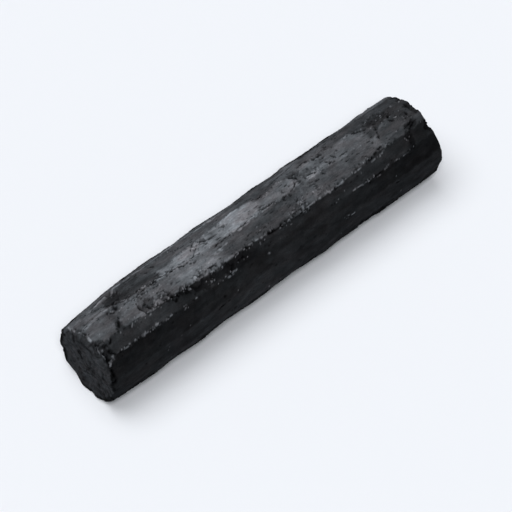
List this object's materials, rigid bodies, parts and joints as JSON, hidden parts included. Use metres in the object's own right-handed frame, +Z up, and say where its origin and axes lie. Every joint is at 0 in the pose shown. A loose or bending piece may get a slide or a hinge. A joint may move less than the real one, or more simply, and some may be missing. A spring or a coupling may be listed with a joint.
{
  "type": "drawing charcoal",
  "caption": "Chunky stick of black drawing charcoal with split flat faces, crumbled edges and blunt chipped ends, lying on a flat side.",
  "frame": {"origin": "on the surface that the stick lies on, under the middle of its length and width", "axes": "+X along the stick from the flat-cut near end to the worn far end, +Z up, +Y towards the stick's back"},
  "size_m": [0.077, 0.0168, 0.016],
  "materials": {
    "char": "matt black char, lightly burnished and grey where the faces are split"
  },
  "bodies": {
    "root": {"charcoal_stick": "char"}
  },
  "joints": []
}
